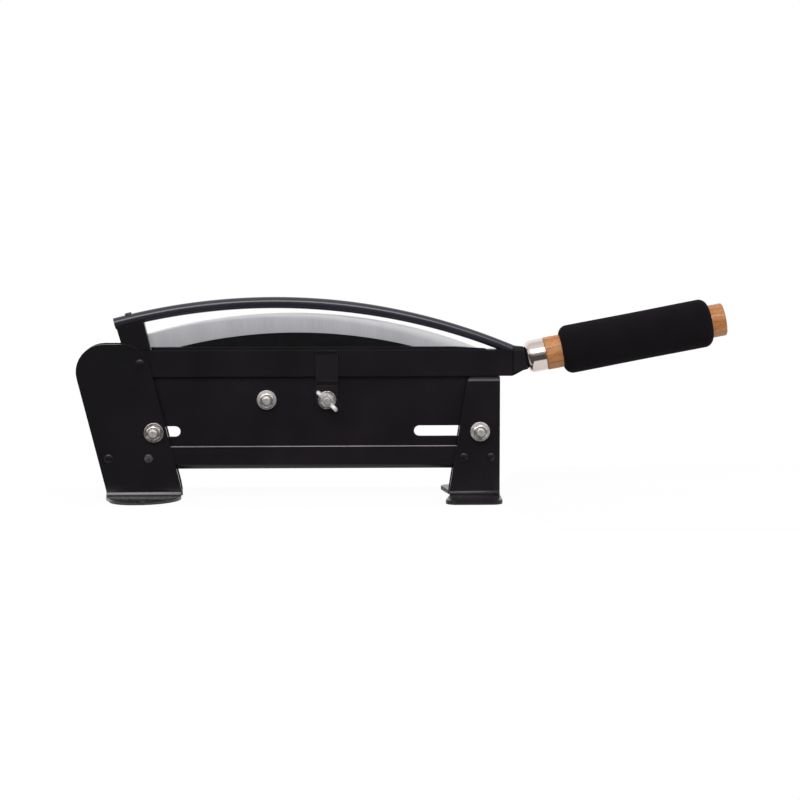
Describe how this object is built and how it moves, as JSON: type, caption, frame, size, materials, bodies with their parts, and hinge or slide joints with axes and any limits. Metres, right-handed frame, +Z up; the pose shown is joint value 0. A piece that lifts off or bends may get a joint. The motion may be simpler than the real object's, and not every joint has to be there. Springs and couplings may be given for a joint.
{
  "type": "herb guillotine cutter",
  "caption": "Bench-top herb cutter: an arched upright blade fixed in a bent-sheet base, and a hinged press arm with paired bars, an arched bow rod and a foam-covered handle.",
  "frame": {"origin": "on the floor, under the middle of the object's length and depth", "axes": "+X towards the handle, +Y from the front, where the nuts are, to the rear, +Z up"},
  "size_m": [0.4952, 0.0926, 0.1537],
  "materials": {
    "black_paint": "satin black paint",
    "dark_steel": "semi-gloss black",
    "blade_steel": "ground bevel, dark flat",
    "zinc_steel": "bright zinc",
    "nickel_steel": "polished",
    "handle_wood": "turned, clear coat",
    "grip_foam": "matt closed-cell foam"
  },
  "bodies": {
    "base": {"left_front_leg": "black_paint", "left_rear_leg": "black_paint", "right_front_leg": "black_paint", "right_rear_leg": "black_paint", "base_rail": "black_paint", "left_outer_rivet": "black_paint", "left_inner_rivet": "black_paint", "right_inner_rivet": "black_paint", "right_outer_rivet": "black_paint", "blade_plate": "black_paint", "blade": "blade_steel", "left_leg_bolt": "zinc_steel", "left_leg_washer": "zinc_steel", "left_leg_nut": "zinc_steel", "left_front_spacer": "zinc_steel", "left_rear_spacer": "zinc_steel", "right_leg_bolt": "zinc_steel", "right_leg_washer": "zinc_steel", "right_leg_nut": "zinc_steel", "right_front_spacer": "zinc_steel", "right_rear_spacer": "zinc_steel", "blade_bolt": "zinc_steel", "blade_washer": "zinc_steel", "blade_nut": "zinc_steel", "guide_bolt": "zinc_steel", "guide_washer": "zinc_steel", "pivot_pin": "dark_steel"},
    "arm": {"front_press_bar": "black_paint", "rear_press_bar": "black_paint", "pivot_block": "black_paint", "bow_rod": "dark_steel", "bow_pin": "dark_steel", "neck": "dark_steel", "ferrule": "nickel_steel", "handle_core": "handle_wood", "foam_grip": "grip_foam"},
    "guide": {"guide_clip": "black_paint"},
    "wing": {"wing_nut": "zinc_steel"}
  },
  "joints": [
    {"name": "arm_hinge", "type": "hinge", "parent": "base", "child": "arm", "pos_m": [-0.19919, 0, 0.1032], "axis": [0, -1, 0], "range_deg": [0, 80]},
    {"name": "guide_swing", "type": "hinge", "parent": "base", "child": "guide", "pos_m": [-0.05779, 0, 0.0752], "axis": [0, 1, 0], "range_deg": [0, 90]},
    {"name": "wing_nut_turn", "type": "hinge", "parent": "base", "child": "wing", "pos_m": [-0.05779, 0, 0.0752], "axis": [0, 1, 0], "continuous": true}
  ]
}
